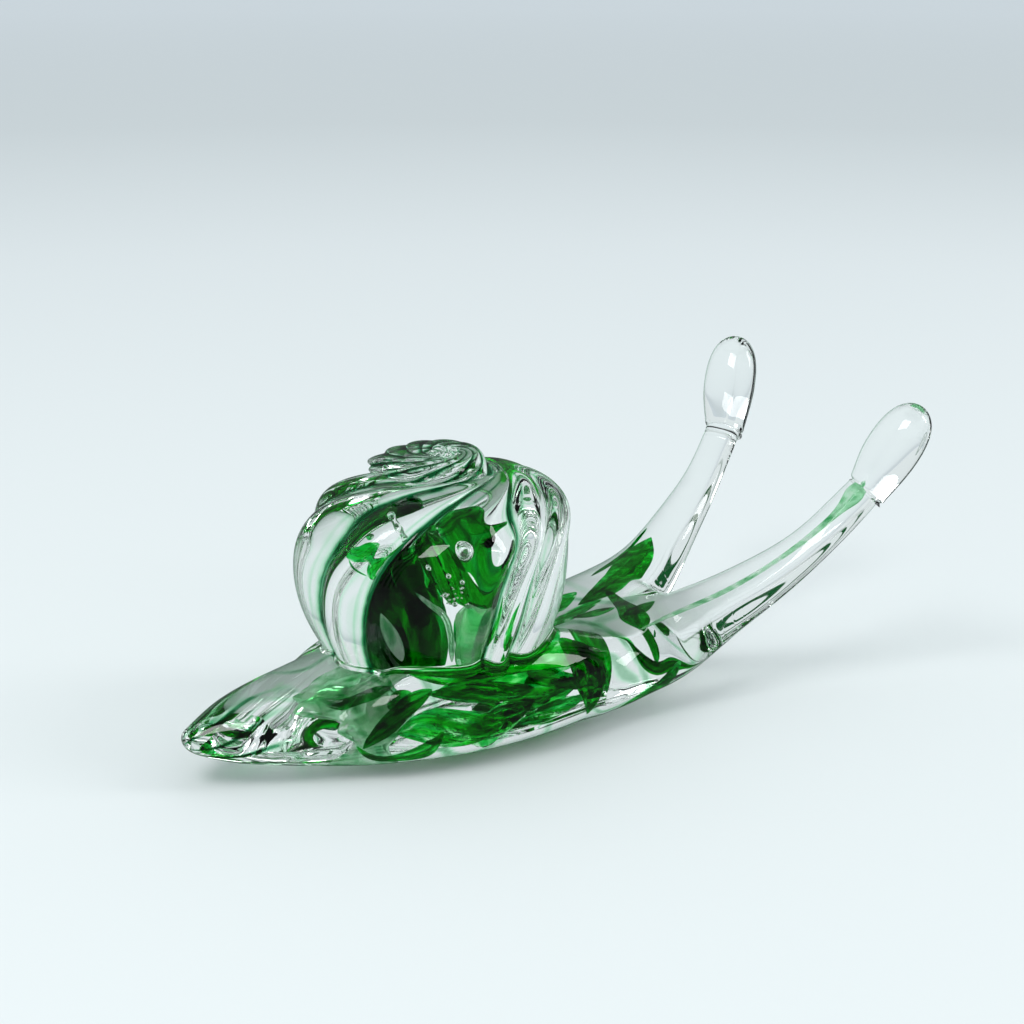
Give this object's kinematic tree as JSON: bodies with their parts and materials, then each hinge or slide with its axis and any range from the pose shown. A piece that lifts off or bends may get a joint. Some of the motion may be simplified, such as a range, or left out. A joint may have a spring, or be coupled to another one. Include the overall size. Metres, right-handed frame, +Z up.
{
  "type": "snail figurine",
  "caption": "Hand-worked solid glass snail with a ribbed, twisted shell, a forked head with two raised antennae, and green glass cased inside.",
  "frame": {"origin": "middle of the flat that the snail rests on, under the shell", "axes": "+X from tail to head, +Y to the snail's left, +Z up"},
  "size_m": [0.1722, 0.0778, 0.0689],
  "materials": {
    "clear_glass": "gloss",
    "emerald_glass": "gloss",
    "pale_green_glass": "gloss"
  },
  "bodies": {
    "root": {"foot": "clear_glass", "right_antenna": "clear_glass", "left_antenna": "clear_glass", "right_antenna_tip": "clear_glass", "left_antenna_tip": "clear_glass", "shell": "clear_glass", "crown": "clear_glass", "crown_seal": "clear_glass", "core_hood": "emerald_glass", "core_left_petal": "emerald_glass", "core_right_petal": "emerald_glass", "core_leaf": "emerald_glass", "belly_swirl": "emerald_glass", "near_patch": "emerald_glass", "middle_patch": "emerald_glass", "head_patch": "emerald_glass", "far_patch": "emerald_glass", "fork_patch": "emerald_glass", "left_antenna_streak": "emerald_glass", "core_light_petal": "pale_green_glass", "tail_veil": "pale_green_glass", "saddle_band": "pale_green_glass", "right_antenna_thread": "pale_green_glass"}
  },
  "joints": []
}
